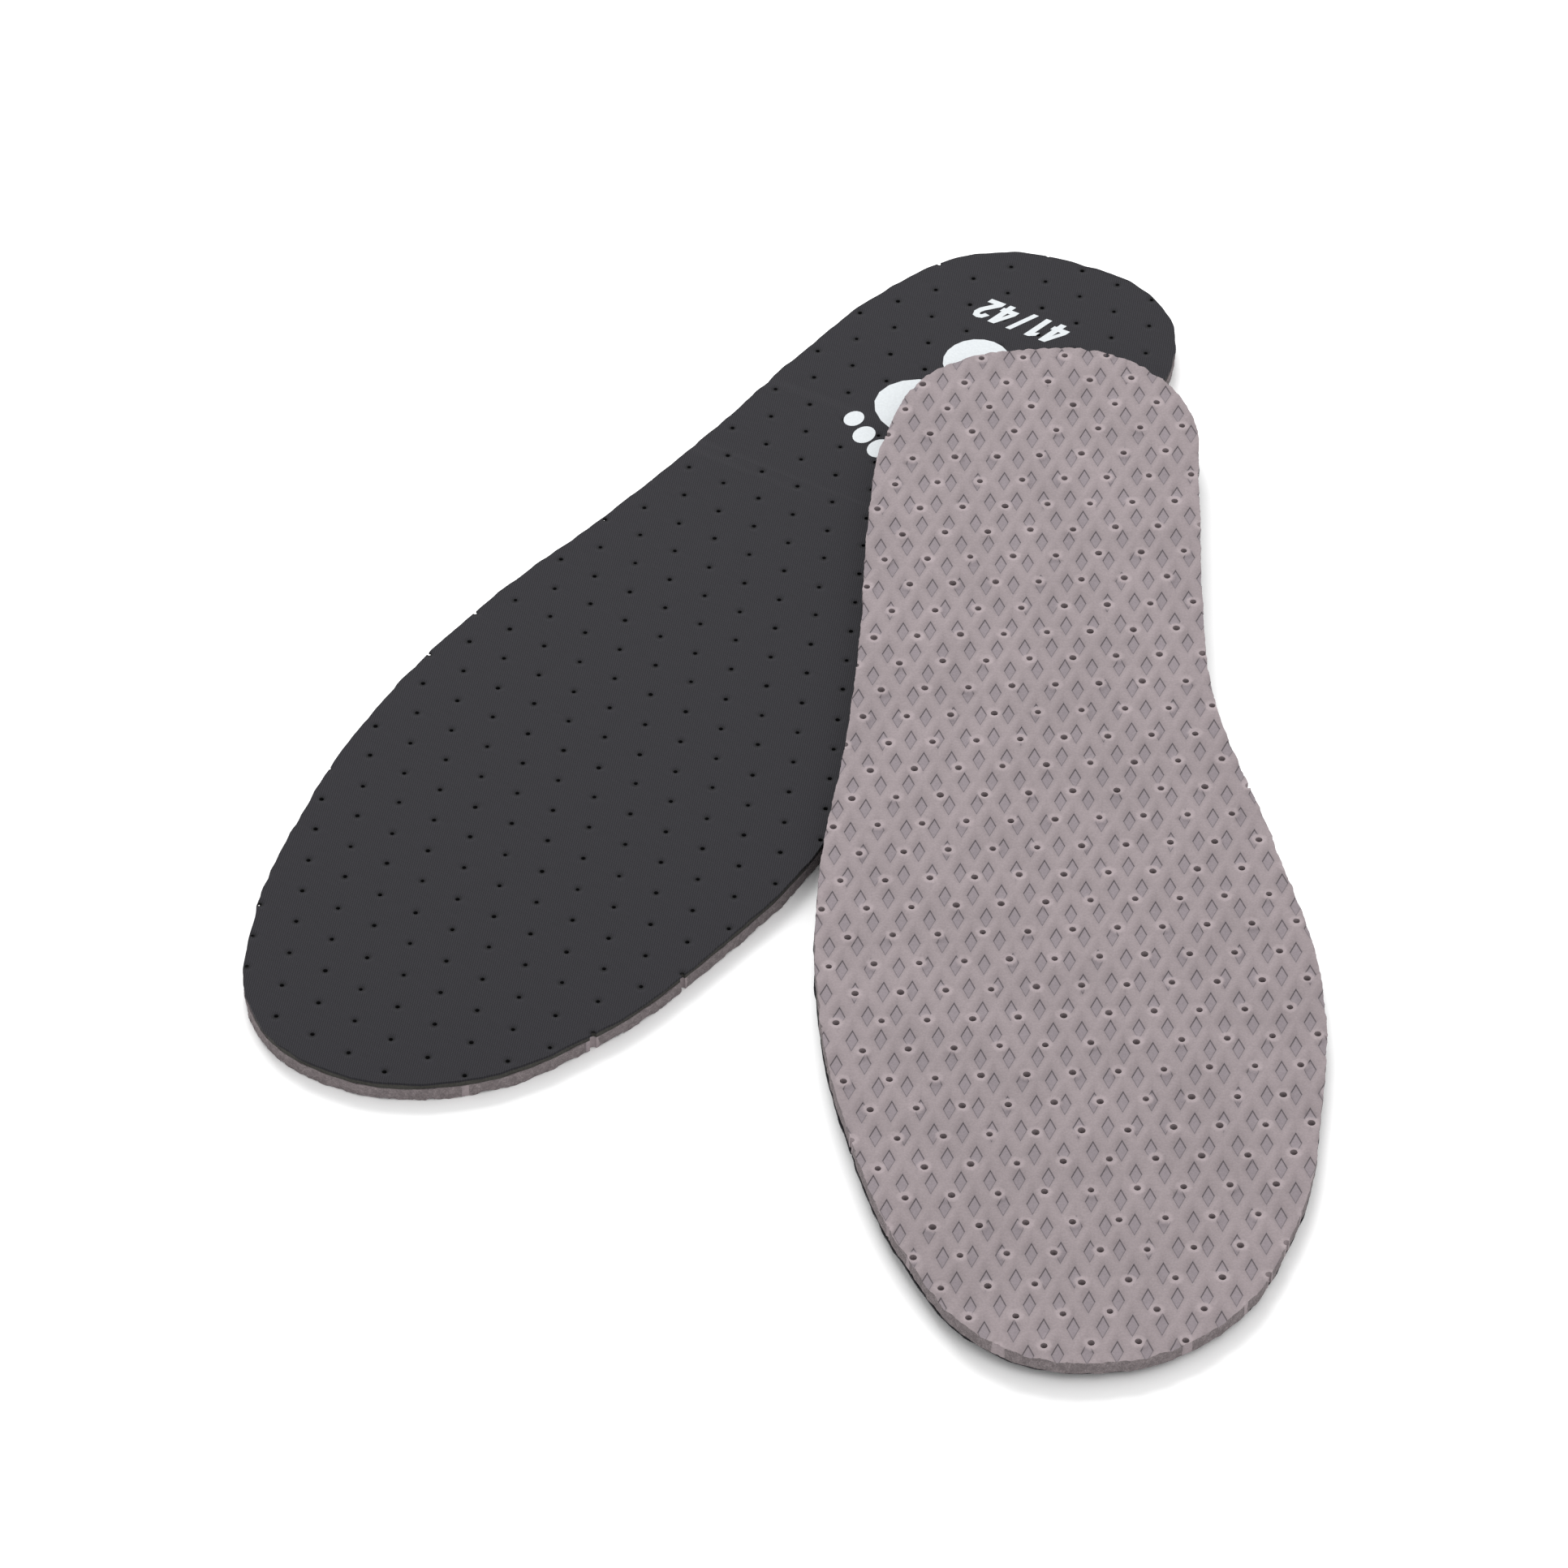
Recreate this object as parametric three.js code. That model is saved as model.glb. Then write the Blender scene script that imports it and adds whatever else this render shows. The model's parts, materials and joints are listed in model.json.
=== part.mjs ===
// A pair of flat cushioned insoles: the right one lies fabric side up, the left one
// lies foam side up with its heel resting across the right one.
// Millimetres, +Z up, +X to the right, +Y away from the viewer. The toes point towards -Y.
import * as THREE from "three";

// ---------------------------------------------------------------- overall sizes
const LENGTH = 272; // heel tip to toe tip, the usual length for the printed size 41/42
const BALL_WIDTH = 91.5; // widest place, across the ball of the foot

// ---------------------------------------------------------------- the layers
const FOAM = 2.7; // perforated foam underside
const BACKING = 0.9; // dark layer the fabric is laminated to
const COVER = 0.5; // woven top cover
const BOND = 0.1; // adhesive line between two layers
const PRINT = 0.1; // raised white ink
const PRINT_LIFT = 0.05; // running gap between ink and fabric
const THICKNESS = FOAM + BOND + BACKING + BOND + COVER;

// ---------------------------------------------------------------- the flex line
const HEEL_TO_FLEX = 180; // from the heel tip to where the ball of the foot bends
const FLEX_GAP = 0.3; // clearance between the rear and the toe piece of a layer

// ---------------------------------------------------------------- how they lie
const RIGHT_TURN = -30.6; // degrees about Z
const RIGHT_CENTRE = [-11.5, 35];
const LEFT_TURN = 2.3; // degrees about Z
const LEFT_CENTRE = [51, -19];
const LEFT_RISES_TOWARDS = 153; // degrees from +X, the way the tilted left insole climbs
const REST_CLEARANCE = 0.4; // between the left insole and the right one it rests across

// ---------------------------------------------------------------- the outline
// Each station is a share of LENGTH from the heel, then the reach from the middle line as a share
// of BALL_WIDTH.
const HEEL_TIP = 0.02; // towards the inner side
const TOE_TIP = -0.03; // towards the outer side
const INNER_EDGE = [
  [0.01, 0.234],
  [0.067, 0.36],
  [0.149, 0.362],
  [0.261, 0.344],
  [0.374, 0.343],
  [0.513, 0.426],
  [0.654, 0.491],
  [0.767, 0.463],
  [0.882, 0.38],
  [0.97, 0.206],
];
const OUTER_EDGE = [
  [0.026, 0.183],
  [0.096, 0.295],
  [0.186, 0.343],
  [0.303, 0.376],
  [0.417, 0.422],
  [0.552, 0.494],
  [0.688, 0.509],
  [0.794, 0.467],
  [0.901, 0.378],
  [0.979, 0.229],
];
const OUTLINE_SEGMENTS = 120;

// ---------------------------------------------------------------- the size mark
const GLYPH_HEIGHT = 6.6;
const GLYPH_WIDTH = 3.2;
const GLYPH_STEP = 3.85; // from one character to the next
const GLYPH_SLANT = 0.24; // sideways lean per unit of height
const MARK_AT = [1, 22]; // across and along, middle of the mark

// Characters drawn on a grid of four by eight units: outer line, then the holes.
const GLYPHS = {
  4: [
    [
      [2, 0], [3.6, 0], [3.6, 1.5], [4.2, 1.5], [4.2, 3], [3.6, 3], [3.6, 8], [1.8, 8],
      [-0.2, 3], [-0.2, 1.5], [2, 1.5],
    ],
    [[1.2, 3], [2, 3], [2, 5.1]],
  ],
  1: [[[1.3, 0], [2.9, 0], [2.9, 8], [1.6, 8], [0.3, 7], [0.3, 5.5], [1.3, 6.1]]],
  2: [
    [
      [0, 0], [4.1, 0], [4.1, 1.5], [2.1, 1.5], [3.9, 4.4], [4.1, 6], [3.3, 7.6], [2, 8], [0.7, 7.6],
      [-0.1, 5.9], [1.4, 5.6], [1.6, 6.3], [2, 6.6], [2.4, 6.3], [2.5, 5.7], [2.2, 4.7], [0, 1.5],
    ],
  ],
  slash: [[[0.3, 0], [1.7, 0], [3.3, 8], [1.9, 8]]],
};
const MARK = ["4", "1", "slash", "4", "2"];

// ---------------------------------------------------------------- the plain footprint emblem
const EMBLEM_AT = [-1, 50]; // across and along, middle of the footprint
const EMBLEM_HEEL = [0.5, -12.6, 6.6, 7]; // across, along, half width, half length
const EMBLEM_BALL = [0.2, 5.6, 11.4, 9.2];
const EMBLEM_TOES = [
  [8.9, 19.2, 3.5, 4],
  [2.6, 21, 2.4, 3],
  [-2.5, 20.6, 2.3, 2.9],
  [-7.2, 18.5, 2.1, 2.7],
  [-11.4, 15.2, 1.9, 2.4],
];

// ---------------------------------------------------------------- looks
const COLOURS = {
  cover: 0x3b3a3d,
  backing: 0x2f302c,
  foam: 0xa1969a,
  print: 0xe9edf0,
};

const rad = THREE.MathUtils.degToRad;
const vec = ([x, y]) => new THREE.Vector2(x, y);

// Outline as a closed loop of [across, along]; across is positive towards the inner side.
function outline() {
  const knot = ([along, across]) => [across * BALL_WIDTH, along * LENGTH];
  const inner = INNER_EDGE.map(knot);
  const outer = OUTER_EDGE.map(([along, across]) => knot([along, -across])).reverse();
  const knots = [knot([0, HEEL_TIP]), ...inner, knot([1, TOE_TIP]), ...outer];
  const curve = new THREE.CatmullRomCurve3(
    knots.map(([x, y]) => new THREE.Vector3(x, y, 0)),
    true,
    "centripetal",
  );
  return curve.getSpacedPoints(OUTLINE_SEGMENTS).slice(0, -1).map((p) => [p.x, p.y]);
}

// The part of a loop on one side of a line across the insole.
function cutAcross(loop, along, keepToe) {
  const sign = keepToe ? 1 : -1;
  const side = (p) => sign * (p[1] - along);
  const kept = [];
  loop.forEach((p, i) => {
    const q = loop[(i + 1) % loop.length];
    if (side(p) >= 0) kept.push(p);
    if (side(p) * side(q) < 0) {
      const t = side(p) / (side(p) - side(q));
      kept.push([p[0] + t * (q[0] - p[0]), along]);
    }
  });
  return kept;
}

// [across, along] to the insole's own frame: origin at mid length, toe towards -Y.
const place = ([across, along]) => [across, LENGTH / 2 - along];

// A loop as plane points, turned so that outer lines run one way and holes the other.
function wound(loop, clockwise) {
  const points = loop.map((p) => vec(place(p)));
  return THREE.ShapeUtils.isClockWise(points) === clockwise ? points : points.reverse();
}

// A flat piece between two heights, from an outer loop and any hole loops.
function sheet(name, loops, bottom, top, colour) {
  const [outer, ...holes] = loops.map((loop, i) => wound(loop, i > 0));
  const shape = new THREE.Shape(outer);
  shape.holes = holes.map((hole) => new THREE.Path(hole));
  const geometry = new THREE.ExtrudeGeometry(shape, { depth: top - bottom, bevelEnabled: false });
  geometry.translate(0, 0, bottom);
  const material = new THREE.MeshStandardMaterial({ color: colour, roughness: 0.85 });
  const mesh = new THREE.Mesh(geometry, material);
  mesh.name = name;
  return mesh;
}

function oval([across, along, halfWidth, halfLength], [dx, dy]) {
  const corners = 20;
  return Array.from({ length: corners }, (_, i) => {
    const a = (2 * Math.PI * i) / corners;
    return [dx + across + halfWidth * Math.cos(a), dy + along + halfLength * Math.sin(a)];
  });
}

// One insole, its lowest face at z = 0. coverUp is true when the fabric faces up.
function insole(side, coverUp) {
  const group = new THREE.Group();
  // heights are given from the foam face and turned over when the foam faces up
  const heights = (low, high) => (coverUp ? [low, high] : [THICKNESS - high, THICKNESS - low]);
  const loop = outline();
  const layers = [
    ["foam", 0, FOAM],
    ["backing", FOAM + BOND, FOAM + BOND + BACKING],
    ["cover", THICKNESS - COVER, THICKNESS],
  ];
  for (const [layer, low, high] of layers) {
    for (const toe of [false, true]) {
      const cut = HEEL_TO_FLEX + (toe ? FLEX_GAP / 2 : -FLEX_GAP / 2);
      const name = `${side}_${layer}_${toe ? "toe" : "rear"}`;
      group.add(sheet(name, [cutAcross(loop, cut, toe)], ...heights(low, high), COLOURS[layer]));
    }
  }

  // the ink reads from the heel end on both insoles, so its reading direction swaps with the side
  const reading = coverUp ? -1 : 1;
  const ink = heights(THICKNESS + PRINT_LIFT, THICKNESS + PRINT_LIFT + PRINT);
  MARK.forEach((glyph, i) => {
    const start = (i - (MARK.length - 1) / 2) * GLYPH_STEP - GLYPH_WIDTH / 2;
    const loops = GLYPHS[glyph].map((points) =>
      points.map(([gx, gy]) => {
        const y = (gy / 8 - 0.5) * GLYPH_HEIGHT;
        const x = start + (gx / 4) * GLYPH_WIDTH + GLYPH_SLANT * y;
        return [MARK_AT[0] + reading * x, MARK_AT[1] + y];
      }),
    );
    group.add(sheet(`${side}_size_${i + 1}`, loops, ...ink, COLOURS.print));
  });

  const pads = [
    ["heel", EMBLEM_HEEL],
    ["ball", EMBLEM_BALL],
    ...EMBLEM_TOES.map((toe, i) => [`toe${i + 1}`, toe]),
  ];
  for (const [pad, size] of pads) {
    group.add(sheet(`${side}_emblem_${pad}`, [oval(size, EMBLEM_AT)], ...ink, COLOURS.print));
  }
  return group;
}

// A layer outline as seen from above once an insole is turned and moved.
function footprint(turn, [cx, cy]) {
  const middle = new THREE.Vector2();
  return outline().map((p) => vec(place(p)).rotateAround(middle, rad(turn)).add(vec([cx, cy])));
}

function inside(p, loop) {
  return loop.reduce((odd, a, i) => {
    const b = loop[(i + 1) % loop.length];
    const crosses = a.y > p.y !== b.y > p.y && p.x < a.x + ((p.y - a.y) / (b.y - a.y)) * (b.x - a.x);
    return crosses ? !odd : odd;
  }, false);
}

// How steeply the left insole lies, so that it clears the right one where the two cross.
function restingSlope(rise) {
  const lower = footprint(RIGHT_TURN, RIGHT_CENTRE);
  const upper = footprint(LEFT_TURN, LEFT_CENTRE);
  const crossing = [...upper.filter((p) => inside(p, lower)), ...lower.filter((p) => inside(p, upper))];
  const foot = Math.min(...upper.map((p) => p.dot(rise)));
  const step = Math.min(...crossing.map((p) => p.dot(rise)));
  return (THICKNESS + REST_CLEARANCE) / (step - foot);
}

const UP = new THREE.Vector3(0, 0, 1);

const right = insole("right", true);
right.rotateOnAxis(UP, rad(RIGHT_TURN));
right.position.set(...RIGHT_CENTRE, 0);

const left = insole("left", false);
const rise = new THREE.Vector2(1, 0).rotateAround(new THREE.Vector2(), rad(LEFT_RISES_TOWARDS));
left.rotateOnWorldAxis(UP, rad(LEFT_TURN));
left.rotateOnWorldAxis(new THREE.Vector3(rise.y, -rise.x, 0), Math.atan(restingSlope(rise)));
left.position.set(...LEFT_CENTRE, 0);
left.updateMatrixWorld(true);
left.position.z = -new THREE.Box3().setFromObject(left, true).min.z;

const pair = new THREE.Group();
pair.add(right, left);
pair.updateMatrixWorld(true);

// Origin: the middle of the pair's box, on the table.
const middle = new THREE.Box3().setFromObject(pair, true).getCenter(new THREE.Vector3());
pair.position.set(-middle.x, -middle.y, 0);

export default pair;
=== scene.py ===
# %% [markdown]
# # A pair of cushioned insoles
# An insole of this kind is punched from a roll of laminated sheet: a foam with small diamonds
# pressed into its underside, a thin dark backing, and a black woven cover. The roll is
# perforated first, so the air holes run through every layer and some are cut in half at the edge.
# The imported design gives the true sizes, the resting places and the bending joints. This
# script gives each layer its real surface and keeps to that frame, in metres.

# %% Load the frame
import json
import math
import random

import bmesh
import bpy
from mathutils import Matrix, Vector, noise
from mathutils.kdtree import KDTree


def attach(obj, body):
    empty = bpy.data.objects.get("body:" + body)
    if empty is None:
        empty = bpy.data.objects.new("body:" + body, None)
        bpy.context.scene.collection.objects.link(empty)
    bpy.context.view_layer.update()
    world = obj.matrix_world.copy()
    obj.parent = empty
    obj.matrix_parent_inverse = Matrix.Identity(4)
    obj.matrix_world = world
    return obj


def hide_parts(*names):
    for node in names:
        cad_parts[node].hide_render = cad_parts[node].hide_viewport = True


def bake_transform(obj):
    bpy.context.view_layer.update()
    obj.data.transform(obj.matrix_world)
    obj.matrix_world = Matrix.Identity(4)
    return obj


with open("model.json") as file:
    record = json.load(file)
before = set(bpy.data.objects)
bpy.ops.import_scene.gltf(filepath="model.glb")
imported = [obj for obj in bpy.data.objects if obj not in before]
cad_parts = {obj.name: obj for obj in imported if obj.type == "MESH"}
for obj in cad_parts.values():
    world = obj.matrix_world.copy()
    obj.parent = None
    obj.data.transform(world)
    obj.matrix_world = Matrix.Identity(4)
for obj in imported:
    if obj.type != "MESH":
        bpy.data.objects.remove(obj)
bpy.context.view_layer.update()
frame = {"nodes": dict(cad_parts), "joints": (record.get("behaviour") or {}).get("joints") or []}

noise.seed_set(5)  # the vector noise starts from the clock unless it is seeded

# %% [markdown]
# ## The camera
# A product picture like this is taken from some way off with a long lens, so that the near toe
# doesn't swell. A camera that looks at the middle of the pair from 42 degrees up is all it
# takes. The lens is worked out from the distance and the width that has to fit in the frame.

# %% Camera
CAMERA_DISTANCE = 1.52
CAMERA_RISE = math.radians(42)
WIDTH_IN_FRAME = 0.2937  # metres seen across, at the middle of the pair

camera_data = bpy.data.cameras.new("camera")
camera_data.sensor_width = 36
camera_data.lens = 36 * CAMERA_DISTANCE / WIDTH_IN_FRAME
camera_data.dof.use_dof = False
camera = bpy.data.objects.new("camera", camera_data)
camera.location = (0, -CAMERA_DISTANCE * math.cos(CAMERA_RISE), CAMERA_DISTANCE * math.sin(CAMERA_RISE))
camera.rotation_euler = (math.pi / 2 - CAMERA_RISE, 0, 0)
bpy.context.scene.collection.objects.link(camera)
bpy.context.scene.camera = camera
print("lens", round(camera_data.lens, 1), "mm")

# %% [markdown]
# ## Sizes
# The layers are worked on flat, in millimetres, in the insole's own frame: x across towards the
# inner side of the foot, y from the toe back to the heel, z up from the lower face. Only at the
# end does each one go to its resting place.

# %% Sizes in millimetres
LENGTH = 272.0
BALL_WIDTH = 91.5
THICKNESS = 4.3
HEEL_TO_FLEX = 180.0
FOAM_TOP = 2.75  # foam, backing and cover meet with no gap here, as glued layers do
BACKING_TOP = 3.8

HEEL_TIP, TOE_TIP = 0.02, -0.03
INNER_EDGE = [(0.01, 0.234), (0.067, 0.36), (0.149, 0.362), (0.261, 0.344), (0.374, 0.343),
              (0.513, 0.426), (0.654, 0.491), (0.767, 0.463), (0.882, 0.38), (0.97, 0.206)]
OUTER_EDGE = [(0.026, 0.183), (0.096, 0.295), (0.186, 0.343), (0.303, 0.376), (0.417, 0.422),
              (0.552, 0.494), (0.688, 0.509), (0.794, 0.467), (0.901, 0.378), (0.979, 0.229)]


def knot(along, across):
    return Vector((across * BALL_WIDTH, LENGTH / 2 - along * LENGTH, 0))


knots = [knot(0, HEEL_TIP)]
knots += [knot(along, across) for along, across in INNER_EDGE]
knots += [knot(1, TOE_TIP)]
knots += [knot(along, -across) for along, across in reversed(OUTER_EDGE)]
print(len(knots), "knots round the outline")

# %% [markdown]
# ## Where each insole lies
# The hinge of each toe says where the insole is: its axis runs across the foot, and it sits on
# the upper face at the ball. The largest upward face of the foam gives the tilt. Reading the
# place from the design keeps the two in step if the design is packed again.

# %% Resting places


def resting_place(side):
    hinge = next(j for j in frame["joints"] if j["name"] == f"{side}_toe_flex")
    across = -Vector(hinge["axis"]).normalized()
    faces = [p for p in frame["nodes"][f"{side}_foam_rear"].data.polygons if p.normal.z > 0.5]
    up = max(faces, key=lambda p: p.area).normal.copy()
    back = up.cross(across).normalized()
    flex_y = LENGTH / 2 - HEEL_TO_FLEX
    origin = Vector(hinge["pos_m"]) - back * flex_y * 0.001 - up * THICKNESS * 0.001
    turn = Matrix((across, back, up)).transposed().to_4x4()
    return Matrix.Translation(origin) @ turn @ Matrix.Scale(0.001, 4)


places = {side: resting_place(side) for side in ("right", "left")}
for side, place in places.items():
    print(side, [round(v, 4) for v in place.translation])

# %% [markdown]
# ## Helpers
# Three small steps come back for every layer: make an object from a bmesh, cut it with another
# shape, and clear a tool away. The cutting uses the manifold solver, which is quick and exact
# on closed meshes, and every mesh here is closed.

# %% Helpers


def new_object(name, bm):
    mesh = bpy.data.meshes.new(name)
    bm.to_mesh(mesh)
    bm.free()
    obj = bpy.data.objects.new(name, mesh)
    bpy.context.scene.collection.objects.link(obj)
    return obj


def cut(obj, tool, operation):
    step = obj.modifiers.new("cut", "BOOLEAN")
    step.operation = operation
    step.object = tool
    step.solver = "MANIFOLD"
    graph = bpy.context.evaluated_depsgraph_get()
    result = bpy.data.meshes.new_from_object(obj.evaluated_get(graph))
    obj.modifiers.clear()
    spare, obj.data = obj.data, result
    bpy.data.meshes.remove(spare)


def discard(*objects):
    for obj in objects:
        mesh = obj.data
        bpy.data.objects.remove(obj)
        bpy.data.meshes.remove(mesh)


# %% [markdown]
# ## The die
# A steel rule die presses the outline out of the roll. A closed Bezier curve through the knots is
# the natural way to draw it, and a filled, extruded curve is already a solid slice of any
# thickness. `grow` moves the line in or out a little, because soft layers part at the cut.

# %% The die


def slice_of_outline(name, low, high, grow=0.0):
    curve = bpy.data.curves.new(name, "CURVE")
    curve.dimensions = "2D"
    curve.fill_mode = "BOTH"
    curve.resolution_u = 24
    curve.extrude = (high - low) / 2
    curve.offset = grow
    spline = curve.splines.new("BEZIER")
    spline.bezier_points.add(len(knots) - 1)
    for point, at in zip(spline.bezier_points, knots):
        point.co = at
        point.handle_left_type = point.handle_right_type = "AUTO"
    spline.use_cyclic_u = True
    drawn = bpy.data.objects.new(name, curve)
    bpy.context.scene.collection.objects.link(drawn)
    graph = bpy.context.evaluated_depsgraph_get()
    mesh = bpy.data.meshes.new_from_object(drawn.evaluated_get(graph))
    bm = bmesh.new()
    bm.from_mesh(mesh)
    bpy.data.objects.remove(drawn)
    bpy.data.curves.remove(curve)
    bpy.data.meshes.remove(mesh)
    bmesh.ops.remove_doubles(bm, verts=bm.verts, dist=0.001)
    bmesh.ops.translate(bm, verts=bm.verts, vec=(0, 0, (low + high) / 2))
    bmesh.ops.recalc_face_normals(bm, faces=bm.faces)
    return bm


def waver(bm, amount, seed):
    for v in bm.verts:
        sway = noise.noise_vector(v.co.xy.to_3d() * 0.35 + Vector((seed, 0, 0)))
        v.co.x += amount * sway.x
        v.co.y += amount * sway.y


trial = slice_of_outline("trial", 0, 1)
print("outline slice:", len(trial.verts), "points, volume", round(trial.calc_volume() / 1000, 2), "cm3")
trial.free()

# %% [markdown]
# ## The perforation
# The needles stand in staggered rows across the roll. They are the same for every layer of one
# insole, but each insole is punched out at a slightly different angle, so each has its own turn
# and shift. The needle radius varies a little from hole to hole, as foam closes up unevenly.

# %% The needles
HOLE_PITCH = 8.25
HOLE_ROW = 7.35
HOLE_RADIUS = 0.66
CLOTH_HOLE = 0.64  # yarns spring back round the needle, so the cover's holes are this much of the foam's
ROLL = {
    "right": (math.radians(-4.4), Vector((1.6, 2.0, 0))),
    "left": (math.radians(2.6), Vector((-0.8, 1.2, 0))),
}


def hole_centres(side):
    turn, shift = ROLL[side]
    spin = Matrix.Rotation(turn, 3, "Z")
    found = []
    for row in range(-22, 23):
        for column in range(-8, 9):
            at = Vector(((column + row % 2 / 2) * HOLE_PITCH, row * HOLE_ROW, 0))
            at = spin @ at + shift
            if abs(at.x) < BALL_WIDTH / 2 + 6 and abs(at.y) < LENGTH / 2 + 6:
                found.append(at)
    return found


def needles(side, share=1.0):
    chance = random.Random(f"needles {side}")
    bm = bmesh.new()
    for at in hole_centres(side):
        radius = HOLE_RADIUS * share * chance.uniform(0.9, 1.1)
        lean = Matrix.Rotation(math.radians(chance.uniform(-3, 3)), 4, "X")
        bmesh.ops.create_cone(
            bm, cap_ends=True, segments=14, radius1=radius, radius2=radius, depth=16,
            matrix=Matrix.Translation(at) @ lean)
    return new_object(f"{side}_needles", bm)


print("holes", {side: len(hole_centres(side)) for side in places})

# %% [markdown]
# ## The pressed diamonds
# The foam's underside carries a net of soft raised ribs round small sunken diamonds. A grid of
# unit squares does this with three insets: the first two let the rib fall away gently, the third
# is the steep side of the diamond, and what is left is its flat floor. Shearing the finished
# squares into a rhombic net afterwards keeps every diamond the same shape as its cell. Each one
# ends up with a few dozen faces.

# %% Diamonds
DIAMOND_PITCH = 5.2  # across
DIAMOND_ROW = 12.1  # along, from one diamond to the next in the same column
NET_LEAN = 0.14  # the embossing roller's columns lean against its rows
RIB_STEPS = [(0.112, -0.1), (0.17, -0.24), (0.018, -0.14)]  # inset in cells, drop in millimetres
FLOOR_REACH = 0.5 - sum(step for step, _ in RIB_STEPS)  # from the middle of a cell to its floor's edge
NET_SHEAR = Matrix((
    ((DIAMOND_PITCH + NET_LEAN * DIAMOND_ROW) / 2, (NET_LEAN * DIAMOND_ROW - DIAMOND_PITCH) / 2, 0, 0),
    (DIAMOND_ROW / 2, DIAMOND_ROW / 2, 0, 0),
    (0, 0, 1, 0),
    (0, 0, 0, 1)))
MARGIN = 14  # spare net beyond the outline, for the die to cut away


def pressed_net():
    bm = bmesh.new()
    count = 60
    bmesh.ops.create_grid(bm, x_segments=count, y_segments=count, size=count / 2)
    middles = {f: NET_SHEAR @ f.calc_center_median() for f in bm.faces}
    outside = [
        f for f, at in middles.items()
        if abs(at.x) > BALL_WIDTH / 2 + MARGIN or abs(at.y) > LENGTH / 2 + MARGIN]
    bmesh.ops.delete(bm, geom=outside, context="FACES")
    floors = list(bm.faces)
    for inset, drop in RIB_STEPS:
        bmesh.ops.inset_individual(bm, faces=floors, thickness=inset, depth=drop, use_even_offset=True)
    sides = [e for e in bm.edges if min(abs(c) for c in (e.verts[0].co - e.verts[1].co).xy) < 1e-4]
    bmesh.ops.subdivide_edges(bm, edges=sides, cuts=2, use_grid_fill=True)
    bmesh.ops.transform(bm, matrix=NET_SHEAR, verts=bm.verts)
    return bm, len(floors)


trial, diamonds = pressed_net()
print(diamonds, "diamonds,", len(trial.faces) // diamonds, "faces each")
trial.free()

# %% [markdown]
# ## The dished ring round each hole
# The needles go in hot from the foam side, so each hole sits in a small smooth dish where the
# pressed net has been ironed out. The net is made finer near each hole, then its points there are
# eased onto the dish.

# %% Dishes
DISH_FLAT = 0.9
DISH_EDGE = 2.0


def ease(value):
    value = min(max(value, 0.0), 1.0)
    return value * value * (3 - 2 * value)


def dish_holes(bm, centres):
    tree = KDTree(len(centres))
    for i, at in enumerate(centres):
        tree.insert((at.x, at.y, 0), i)
    tree.balance()

    def reach(point):
        return tree.find((point.x, point.y, 0))[2]

    near = [e for e in bm.edges if reach((e.verts[0].co + e.verts[1].co) / 2) < DISH_EDGE - 0.2]
    bmesh.ops.subdivide_edges(bm, edges=near, cuts=1, use_grid_fill=True)
    for v in bm.verts:
        away = reach(v.co)
        if away < DISH_EDGE:
            hold = 1 - ease((away - DISH_FLAT) / (DISH_EDGE - DISH_FLAT))
            dish = -0.22 * (1 - ease((away - 0.5) / 1.2))
            v.co.z += hold * (dish - v.co.z)


# %% [markdown]
# ## The foam base
# The net becomes a slab: its open rim is drawn down to the glue side and closed with one face.
# Then it is turned the way this insole lies, the die keeps what is inside the outline, and the
# needles go through. Diamonds and holes that cross the edge leave the scallops and nicks that
# a real punched edge has.

# %% Foam


NET_TURN = math.radians(3)


def foam_slab(side, cover_up):
    bm, _ = pressed_net()
    bmesh.ops.rotate(bm, verts=bm.verts, cent=(0, 0, 0), matrix=Matrix.Rotation(NET_TURN, 3, "Z"))
    over = Matrix.Rotation(math.pi, 4, "X") if cover_up else Matrix.Translation((0, 0, THICKNESS))
    flip = -1 if cover_up else 1
    dish_holes(bm, [Vector((c.x, c.y * flip, 0)) for c in hole_centres(side)])
    rim = [e for e in bm.edges if e.is_boundary]
    drawn = bmesh.ops.extrude_edge_only(bm, edges=rim)["geom"]
    for v in (g for g in drawn if isinstance(g, bmesh.types.BMVert)):
        v.co.z = -FOAM_TOP
    bmesh.ops.contextual_create(bm, geom=[g for g in drawn if isinstance(g, bmesh.types.BMEdge)])
    bmesh.ops.transform(bm, matrix=over, verts=bm.verts)
    bmesh.ops.recalc_face_normals(bm, faces=bm.faces)
    return bm


def punch(obj):
    blade = slice_of_outline("die", -6, 12)
    waver(blade, 0.2, 5)
    die = new_object("die", blade)
    cut(obj, die, "INTERSECT")
    discard(die)


# %% [markdown]
# A blade tears foam as much as it cuts it, so the edge is never a clean wall. The wall is
# sliced into four bands and each point is nudged by smooth noise. The wall also gets its own
# material, because a cut face shows the open cells that the pressed skin hides.

# %% The torn edge
WALL_BANDS = 4


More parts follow.
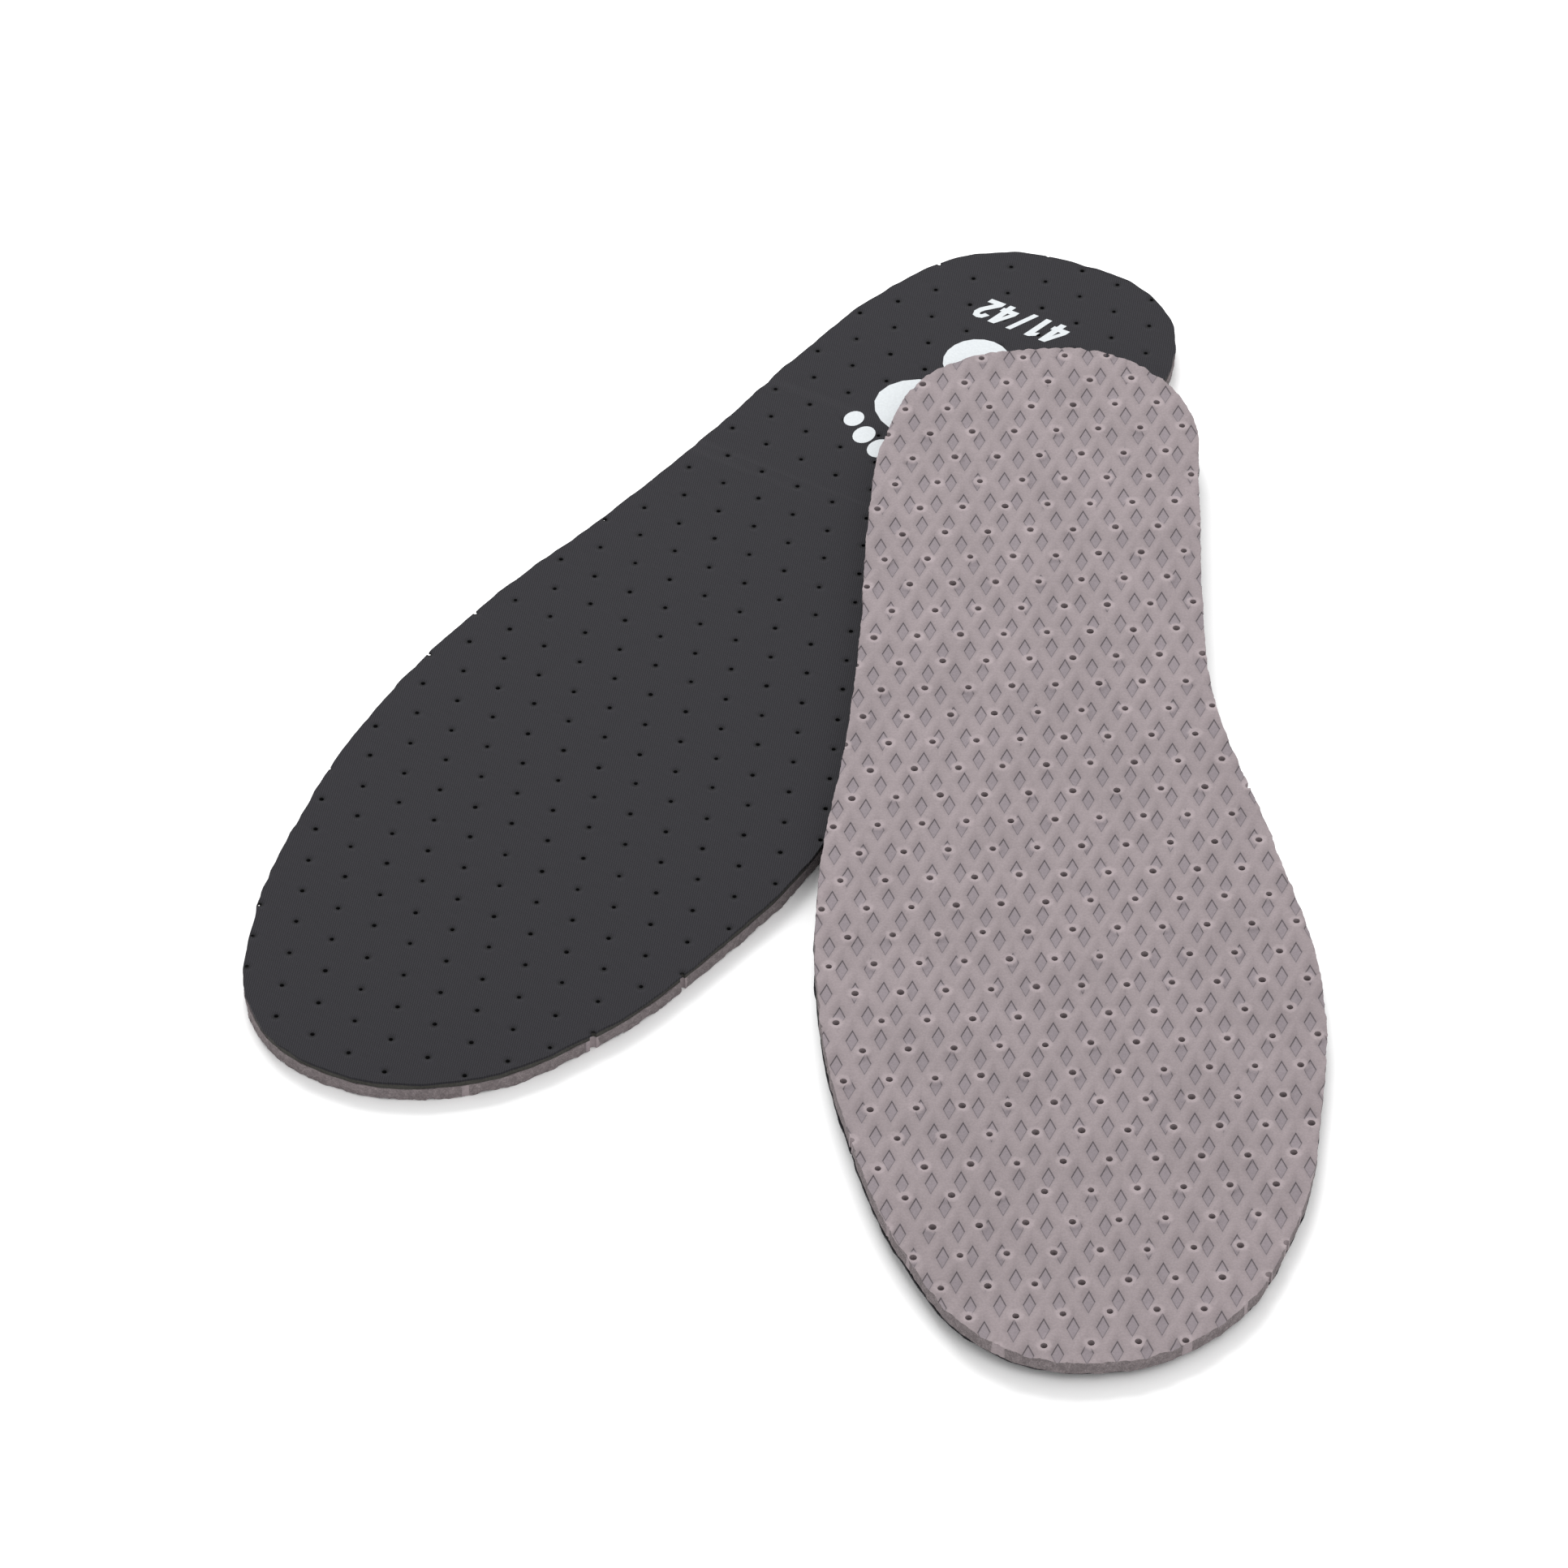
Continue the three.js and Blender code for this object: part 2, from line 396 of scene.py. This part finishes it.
def torn_edge(bm, side):
    tree = KDTree(len(hole_centres(side)))
    for i, at in enumerate(hole_centres(side)):
        tree.insert((at.x, at.y, 0), i)
    tree.balance()

    def on_wall(face):
        middle = face.calc_center_median()
        return abs(face.normal.z) < 0.2 and tree.find((middle.x, middle.y, 0))[2] > 1.1

    bm.normal_update()
    wall = {f for f in bm.faces if on_wall(f)}
    low = min(v.co.z for v in bm.verts)
    for band in range(1, WALL_BANDS):
        geom = {g for f in wall for g in [f, *f.edges, *f.verts]}
        cuts = bmesh.ops.bisect_plane(
            bm, geom=list(geom), dist=1e-4,
            plane_co=(0, 0, low + FOAM_TOP * band / WALL_BANDS), plane_no=(0, 0, 1))
        wall = {g for g in cuts["geom"] if isinstance(g, bmesh.types.BMFace)}
    for v in {v for f in wall for v in f.verts}:
        tear = noise.noise_vector(v.co * 0.9) + 0.6 * noise.noise_vector(v.co * 2.7)
        v.co.x += 0.18 * tear.x
        v.co.y += 0.18 * tear.y
        if v.co.z < 0.3:
            v.co.z += 0.7 * max(0.0, noise.noise(v.co * 0.22) + 0.05)  # the lower lip is chewed
    for face in wall:
        face.material_index = 1


# %% [markdown]
# ## The backing and the cover
# Both are plain slices of the outline. The cover's upper rim is rounded a little with a bevel,
# because cloth can't hold a sharp edge, and the cut line of both wavers by a tenth of a
# millimetre or so. The waver comes from smooth noise read at each point, so it is the same
# at every run.

# %% Backing and cover


SHRUNK = 0.989  # cloth and backing draw back from the tips of the insole that lies on them


def draw_back(bm, cover_up):
    if not cover_up:
        bmesh.ops.scale(bm, vec=(1, SHRUNK, 1), verts=bm.verts)


def backing_slice(cover_up):
    low, high = (FOAM_TOP, BACKING_TOP) if cover_up else (THICKNESS - BACKING_TOP, THICKNESS - FOAM_TOP)
    bm = slice_of_outline("backing", low, high, grow=-0.12)
    waver(bm, 0.2, 3)
    draw_back(bm, cover_up)
    return bm


def cover_slice(cover_up):
    low, high = (BACKING_TOP, THICKNESS) if cover_up else (0.03, THICKNESS - BACKING_TOP)
    face = high if cover_up else low
    bm = slice_of_outline("cover", low, high, grow=0.1)
    waver(bm, 0.3, 9)
    draw_back(bm, cover_up)
    rim = [
        e for e in bm.edges
        if all(abs(v.co.z - face) < 1e-4 for v in e.verts) and any(abs(f.normal.z) < 0.5 for f in e.link_faces)]
    bmesh.ops.bevel(
        bm, geom=rim, offset=0.16, offset_type="OFFSET", segments=2, profile=0.5,
        affect="EDGES", material=-1, clamp_overlap=True)
    return bm


# %% [markdown]
# ## Lines to bend on, and the roll's own map
# A flat face can't bend, so each layer is cut across with fine lines over the ball of the foot.
# Then every layer gets a UV map laid out as it was on the roll, ten millimetres to a unit. Weave
# and hole marks read that map, so they stay on the cloth when the toe bends.

# %% Flex lines and the roll map
FLEX_SPREAD = 16.0  # half the length over which the ball bends
FLEX_STEP = 2.0


def add_flex_lines(bm):
    middle = LENGTH / 2 - HEEL_TO_FLEX
    lines = int(2 * FLEX_SPREAD / FLEX_STEP) + 1
    for i in range(lines):
        at = middle - FLEX_SPREAD + i * FLEX_STEP
        bmesh.ops.bisect_plane(
            bm, geom=bm.verts[:] + bm.edges[:] + bm.faces[:], dist=1e-4,
            plane_co=(0, at, 0), plane_no=(0, 1, 0))


def map_to_roll(bm, side):
    turn, shift = ROLL[side]
    unspin = Matrix.Rotation(-turn, 3, "Z")
    layer = bm.loops.layers.uv.new("roll")
    for face in bm.faces:
        for loop in face.loops:
            flat = Vector((loop.vert.co.x, loop.vert.co.y, 0)) - shift
            loop[layer].uv = (unspin @ flat).xy / 10


def map_to_net(bm, cover_up):
    to_net = NET_SHEAR.inverted() @ Matrix.Rotation(-NET_TURN, 4, "Z")
    flip = -1 if cover_up else 1
    layer = bm.loops.layers.uv.new("net")
    for face in bm.faces:
        for loop in face.loops:
            flat = Vector((loop.vert.co.x, loop.vert.co.y * flip, 0))
            loop[layer].uv = (to_net @ flat).xy


def finish_layer(obj, side, sharp, torn=False):
    bm = bmesh.new()
    bm.from_mesh(obj.data)
    bmesh.ops.dissolve_degenerate(bm, dist=1e-4, edges=bm.edges)
    if torn:
        torn_edge(bm, side)
    add_flex_lines(bm)
    map_to_roll(bm, side)
    map_to_net(bm, side == "right")
    bmesh.ops.triangulate(bm, faces=[f for f in bm.faces if len(f.verts) > 4])
    for face in bm.faces:
        face.smooth = True
    bmesh.ops.transform(bm, matrix=places[side], verts=bm.verts)
    bm.to_mesh(obj.data)
    bm.free()
    obj.data.set_sharp_from_angle(angle=math.radians(sharp))
    print(obj.name, len(obj.data.polygons), "faces")


# %% [markdown]
# ## The print
# The size and a plain footprint are printed in white on the heel. The design holds each
# character and pad as a thin slip, so copies of those are merged into one film and pressed down
# onto the cloth. It goes on after the needles, as a heat transfer, so it bridges the holes.

# %% Print


def ink_film(side, cover_up):
    names = sorted(n for n in frame["nodes"] if n.startswith((f"{side}_size", f"{side}_emblem")))
    bm = bmesh.new()
    for name in names:
        bm.from_mesh(frame["nodes"][name].data)
    bmesh.ops.remove_doubles(bm, verts=bm.verts, dist=1e-7)
    bmesh.ops.transform(bm, matrix=places[side].inverted(), verts=bm.verts)
    bmesh.ops.translate(bm, verts=bm.verts, vec=(0, 0, -0.07 if cover_up else 0.07))
    return bm, names


# %% [markdown]
# ## Colours and surfaces
# The foam is a dull mauve grey. Its skin has a fine grain and faint clouds of lighter and
# darker tone. It is painted paler on the ironed dish round each hole, a painted highlight for the
# smoother skin there catching the light. It is painted darker on the diamonds' floors and creases,
# painted shade for the pressed recesses, read from the net map. The grain and clouds are noise on
# object coordinates; the paler rings come from the distance to the nearest hole
# on the roll map: two rectangular grids, half a step apart, make the staggered rows.

# %% Material helpers


def material(name, roughness):
    made = bpy.data.materials.new(name)
    made.use_nodes = True
    shader = made.node_tree.nodes["Principled BSDF"]
    shader.inputs["Roughness"].default_value = roughness
    return made, made.node_tree, shader


def node(tree, kind, **settings):
    made = tree.nodes.new(kind)
    for key, value in settings.items():
        setattr(made, key, value)
    return made


def hole_distance(tree, stretch=(1, 1, 1)):
    """Distance to the nearest hole, in units of ten millimetres."""
    roll = node(tree, "ShaderNodeUVMap", uv_map="roll")
    half = (HOLE_PITCH / 20, HOLE_ROW / 10, 1)
    lengths = []
    for offset in ((0, 0, 0), (half[0], half[1], 0)):
        move = node(tree, "ShaderNodeVectorMath", operation="ADD")
        move.inputs[1].default_value = offset
        tree.links.new(roll.outputs["UV"], move.inputs[0])
        wrap = node(tree, "ShaderNodeVectorMath", operation="WRAP")
        wrap.inputs[1].default_value = half
        wrap.inputs[2].default_value = (-half[0], -half[1], -1)
        tree.links.new(move.outputs[0], wrap.inputs[0])
        pull = node(tree, "ShaderNodeVectorMath", operation="MULTIPLY")
        pull.inputs[1].default_value = stretch
        tree.links.new(wrap.outputs[0], pull.inputs[0])
        length = node(tree, "ShaderNodeVectorMath", operation="LENGTH")
        tree.links.new(pull.outputs[0], length.inputs[0])
        lengths.append(length.outputs["Value"])
    nearest = node(tree, "ShaderNodeMath", operation="MINIMUM")
    tree.links.new(lengths[0], nearest.inputs[0])
    tree.links.new(lengths[1], nearest.inputs[1])
    return nearest.outputs[0]


def ramp(tree, value, low, high, out_low, out_high):
    made = node(tree, "ShaderNodeMapRange", interpolation_type="SMOOTHSTEP")
    for key, number in (("From Min", low), ("From Max", high), ("To Min", out_low), ("To Max", out_high)):
        made.inputs[key].default_value = number
    tree.links.new(value, made.inputs["Value"])
    return made.outputs["Result"]


def grain(tree, scale, detail, coordinates=None):
    made = node(tree, "ShaderNodeTexNoise")
    made.inputs["Scale"].default_value = scale
    made.inputs["Detail"].default_value = detail
    if coordinates is None:
        coordinates = node(tree, "ShaderNodeTexCoord").outputs["Object"]
    tree.links.new(coordinates, made.inputs["Vector"])
    return made.outputs["Fac"]


def multiply(tree, first, second):
    made = node(tree, "ShaderNodeMath", operation="MULTIPLY")
    tree.links.new(first, made.inputs[0])
    tree.links.new(second, made.inputs[1])
    return made.outputs[0]


def tint(tree, shader, colour, strength):
    made = node(tree, "ShaderNodeVectorMath", operation="SCALE")
    made.inputs[0].default_value = colour
    tree.links.new(strength, made.inputs["Scale"])
    tree.links.new(made.outputs[0], shader.inputs["Base Color"])


def cell_reach(tree):
    """How far from the middle of its diamond cell a point is: 0 in the middle, 0.5 on the rib."""
    net = node(tree, "ShaderNodeUVMap", uv_map="net")
    part = node(tree, "ShaderNodeVectorMath", operation="WRAP")
    part.inputs[1].default_value = (0.5, 0.5, 0.5)
    part.inputs[2].default_value = (-0.5, -0.5, -0.5)
    shift = node(tree, "ShaderNodeVectorMath", operation="ADD")
    shift.inputs[1].default_value = (0.5, 0.5, 0)
    size = node(tree, "ShaderNodeVectorMath", operation="ABSOLUTE")
    split = node(tree, "ShaderNodeSeparateXYZ")
    larger = node(tree, "ShaderNodeMath", operation="MAXIMUM")
    tree.links.new(net.outputs["UV"], shift.inputs[0])
    tree.links.new(shift.outputs[0], part.inputs[0])
    tree.links.new(part.outputs[0], size.inputs[0])
    tree.links.new(size.outputs[0], split.inputs[0])
    tree.links.new(split.outputs["X"], larger.inputs[0])
    tree.links.new(split.outputs["Y"], larger.inputs[1])
    return larger.outputs[0]


def distance_from(tree, value, middle):
    less = node(tree, "ShaderNodeMath", operation="SUBTRACT")
    less.inputs[1].default_value = middle
    size = node(tree, "ShaderNodeMath", operation="ABSOLUTE")
    tree.links.new(value, less.inputs[0])
    tree.links.new(less.outputs[0], size.inputs[0])
    return size.outputs[0]


def blend_numbers(tree, factor, first, number):
    made = node(tree, "ShaderNodeMix", data_type="FLOAT")
    made.inputs[3].default_value = number
    tree.links.new(factor, made.inputs[0])
    tree.links.new(first, made.inputs[2])
    return made.outputs[0]


def blend_colours(tree, factor, first, second):
    made = node(tree, "ShaderNodeMix", data_type="VECTOR")
    made.inputs[4].default_value = first
    made.inputs[5].default_value = second
    tree.links.new(factor, made.inputs[0])
    return made.outputs[1]


def scale_colour(tree, shader, colour, strength):
    made = node(tree, "ShaderNodeVectorMath", operation="SCALE")
    tree.links.new(colour, made.inputs[0])
    tree.links.new(strength, made.inputs["Scale"])
    tree.links.new(made.outputs[0], shader.inputs["Base Color"])


def relief(tree, shader, height, distance, strength=1.0, below=None):
    made = node(tree, "ShaderNodeBump")
    made.inputs["Distance"].default_value = distance
    made.inputs["Strength"].default_value = strength
    tree.links.new(height, made.inputs["Height"])
    if below is not None:
        tree.links.new(below, made.inputs["Normal"])
    tree.links.new(made.outputs["Normal"], shader.inputs["Normal"])
    return made.outputs["Normal"]


# %% Foam material
foam_skin, tree, shader = material("foam_skin", 0.85)
halo = ramp(tree, hole_distance(tree), 0.095, 0.18, 1.0, 0.0)
off_centre = cell_reach(tree)
# Painted shade: the diamonds' floors are painted a little darker and their creases darker still, standing in
# for the shade in the pressed recesses.
painted_floor_shade = ramp(tree, off_centre, 0.17, 0.42, 0.93, 1.02)
painted_crease_shade = ramp(tree, distance_from(tree, off_centre, FLOOR_REACH + 0.009), 0.01, 0.028, 0.62, 1.0)
painted_recess_shade = multiply(tree, painted_floor_shade, painted_crease_shade)
clouds = ramp(tree, grain(tree, 90, 4), 0.3, 0.7, 0.95, 1.05)
speckle = ramp(tree, grain(tree, 2600, 3), 0.25, 0.75, 0.93, 1.07)
tone = multiply(tree, clouds, speckle)
# Painted shade: the floors also get a darker, bluer colour than the ribs, fading out towards the ribs and on
# the ironed dishes.
rib = blend_numbers(tree, halo, ramp(tree, off_centre, 0.19, 0.28, 0.0, 1.0), 1.0)
colour = blend_colours(tree, rib, (0.198, 0.17, 0.183), (0.214, 0.181, 0.188))
# Painted highlight: on the ironed dish round each hole the foam is painted 1.24 times paler, standing in for
# its smoother skin catching the light; away from the dishes this carries the painted shade of the diamonds.
recess_shade_and_dish_highlight = blend_numbers(tree, halo, painted_recess_shade, 1.24)
scale_colour(tree, shader, colour, multiply(tree, tone, recess_shade_and_dish_highlight))
relief(tree, shader, grain(tree, 1400, 6), 0.00008, 0.7)
shader.inputs["Specular IOR Level"].default_value = 0.25
print("foam", len(tree.nodes), "nodes")

# %% [markdown]
# The cut face of the same foam is darker, because light sinks into its open cells. Two sizes
# of noise make the cells, and a strong bump gives them depth.

# %% Cut foam material
cut_foam, tree, shader = material("cut_foam", 0.95)
cells = multiply(tree, ramp(tree, grain(tree, 900, 3), 0.35, 0.65, 0.8, 1.05), ramp(tree, grain(tree, 3500, 2), 0.35, 0.65, 0.8, 1.1))
tint(tree, shader, (0.2, 0.172, 0.176), cells)
relief(tree, shader, cells, 0.0004, 0.8)
shader.inputs["Specular IOR Level"].default_value = 0.15
print("cut foam", len(tree.nodes), "nodes")

# %% [markdown]
# The backing only shows as a dark line at the cut edge. It is a fine foam, so a pore-like
# noise roughens it.

# %% Backing material
backing_foam, tree, shader = material("backing_foam", 0.9)
pores = grain(tree, 3000, 3)
tint(tree, shader, (0.036, 0.035, 0.031), ramp(tree, pores, 0.3, 0.7, 0.8, 1.25))
relief(tree, shader, pores, 0.00008, 0.7)
shader.inputs["Specular IOR Level"].default_value = 0.25
print("backing", len(tree.nodes), "nodes")

# %% [markdown]
# The cover is a fine, close twill. Its ridges lie on a slant to the insole and are crossed by the
# weft, so two sets of bands at an angle on the roll map, multiplied, make the little slanted
# floats. The needle drags the weft, which leaves a short streak to each side of a hole, so a
# stretched distance to the hole masks a third set of bands. Close round each hole the cloth is
# also painted darker, as painted shade for the dimple the needle leaves. Cloth has a soft glow at
# grazing angles, which is what the sheen socket is for.

# %% Cover material
woven_cover, tree, shader = material("woven_cover", 0.8)
TWILL_SLANT = math.radians(-27)
TWILL_PITCH = 0.041  # of ten millimetres
WEFT_PITCH = 0.036


def bands(tree, turn, pitch, distortion):
    """Soft stripes on the roll map; a wave at scale 1 repeats every pi / 10."""
    turned = node(tree, "ShaderNodeMapping")
    turned.inputs["Rotation"].default_value = (0, 0, turn)
    tree.links.new(node(tree, "ShaderNodeUVMap", uv_map="roll").outputs["UV"], turned.inputs["Vector"])
    made = node(tree, "ShaderNodeTexWave", wave_type="BANDS", bands_direction="X")
    made.inputs["Scale"].default_value = math.pi / 10 / pitch
    made.inputs["Distortion"].default_value = distortion
    made.inputs["Detail"].default_value = 1.0
    tree.links.new(turned.outputs["Vector"], made.inputs["Vector"])
    return made.outputs["Fac"]


ridges = bands(tree, TWILL_SLANT, TWILL_PITCH, 0.2)
weft = bands(tree, math.pi / 2, WEFT_PITCH, 0.2)
weave = multiply(tree, ramp(tree, ridges, 0, 1, 0.45, 1.0), ramp(tree, weft, 0, 1, 0.75, 1.0))
yarn_run = node(tree, "ShaderNodeMapping")
yarn_run.inputs["Scale"].default_value = (1.2, 12, 1)
tree.links.new(node(tree, "ShaderNodeUVMap", uv_map="roll").outputs["UV"], yarn_run.inputs["Vector"])
uneven = ramp(tree, grain(tree, 2.5, 4, yarn_run.outputs["Vector"]), 0.3, 0.7, 0.93, 1.07)
# Painted shade: the cloth is painted darker within about a millimetre of each hole's centre, standing in for
# the shade in the dimple the needle leaves.
painted_dimple_shade = ramp(tree, hole_distance(tree), 0.045, 0.1, 0.42, 1.0)
dragged = ramp(tree, hole_distance(tree, stretch=(0.3, 1.6, 1)), 0.04, 0.15, 1.0, 0.0)
streak = blend_numbers(tree, dragged, ramp(tree, weave, 0.4, 1.0, 0.66, 1.36), 1.0)
streaked = multiply(tree, streak, blend_numbers(
    tree, distance_from(tree, dragged, 1.0), ramp(tree, weft, 0, 1, 0.8, 1.1), 1.0))
tint(tree, shader, (0.0155, 0.0148, 0.0182), multiply(tree, multiply(tree, uneven, streaked), painted_dimple_shade))
dip = relief(tree, shader, ramp(tree, hole_distance(tree), 0.05, 0.15, 0.0, 1.0), 0.0002, 0.4)
relief(tree, shader, weave, 0.00008, 0.8, below=dip)
shader.inputs["Specular IOR Level"].default_value = 0.12
shader.inputs["Sheen Weight"].default_value = 0.04
shader.inputs["Sheen Roughness"].default_value = 0.5
print("cover", len(tree.nodes), "nodes")

# %% [markdown]
# The ink is a thin matt white film. A fine grain of its own varies its tone a little and gives it a faint bump.

# %% Ink material
white_ink, tree, shader = material("white_ink", 0.6)
thin = grain(tree, 1800, 3)
tint(tree, shader, (0.43, 0.455, 0.47), ramp(tree, thin, 0.3, 0.7, 0.95, 1.03))
relief(tree, shader, thin, 0.00003, 0.5)
print("ink", len(tree.nodes), "nodes")

# %% [markdown]
# ## Making both insoles
# The layers are made in the order they lie. The right insole has its cover up and the left one
# its foam up. Each layer spans both bodies of its insole; its transform is baked in and it is
# not tied to either body.

# %% Make the layers


def bend_over_ball(obj):
    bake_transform(obj)


def make_layer(layer, side, bm, skins, sharp, pins):
    obj = new_object(f"{side}_{layer}", bm)
    if layer == "foam":
        punch(obj)
    cut(obj, pins, "DIFFERENCE")
    obj.data.materials.clear()
    for skin in skins:
        obj.data.materials.append(skin)
    finish_layer(obj, side, sharp, torn=layer == "foam")
    bend_over_ball(obj)
    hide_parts(f"{side}_{layer}_rear", f"{side}_{layer}_toe")
    return obj


for side, cover_up in (("right", True), ("left", False)):
    pins = needles(side)
    foam = make_layer("foam", side, foam_slab(side, cover_up), [foam_skin, cut_foam], 32, pins)
    backing = make_layer("backing", side, backing_slice(cover_up), [backing_foam], 40, pins)
    thin_pins = needles(side, CLOTH_HOLE)
    cover = make_layer("cover", side, cover_slice(cover_up), [woven_cover], 20, thin_pins)
    film, slips = ink_film(side, cover_up)
    ink = new_object(f"{side}_print", film)
    ink.data.transform(places[side])
    ink.data.materials.clear()
    ink.data.materials.append(white_ink)
    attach(ink, f"{side}_rear")
    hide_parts(*slips)
    discard(pins, thin_pins)

# %% [markdown]
# ## Floor and light
# A white sweep and big soft lights: most of the light comes from all round, which keeps the
# shadows close and faint, and one larger panel from behind on the left gives the pressed
# diamonds and the needle dishes their light and dark sides.

# %% Floor
floor_bm = bmesh.new()
bmesh.ops.create_grid(floor_bm, x_segments=1, y_segments=1, size=6)
floor = new_object("floor", floor_bm)
paper, tree, shader = material("white_paper", 0.9)
shader.inputs["Base Color"].default_value = (0.93, 0.93, 0.93, 1)
shader.inputs["Specular IOR Level"].default_value = 0.0
floor.data.materials.append(paper)

# %% Light
world = bpy.data.worlds.new("studio")
world.use_nodes = True
world.node_tree.nodes["Background"].inputs["Color"].default_value = (1, 1, 1, 1)
world.node_tree.nodes["Background"].inputs["Strength"].default_value = 0.88
bpy.context.scene.world = world
bpy.context.scene.view_settings.view_transform = "Standard"  # paper white stays white


def panel(name, place, size, watts):
    light = bpy.data.lights.new(name, "AREA")
    light.shape = "SQUARE"
    light.size = size
    light.energy = watts
    obj = bpy.data.objects.new(name, light)
    obj.location = place
    obj.rotation_euler = (-Vector(place)).to_track_quat("-Z", "Y").to_euler()
    bpy.context.scene.collection.objects.link(obj)
    return obj


panel("key", (-0.35, 1.5, 1.25), 1.2, 46)
panel("fill", (0.9, -1.2, 1.8), 1.4, 11)
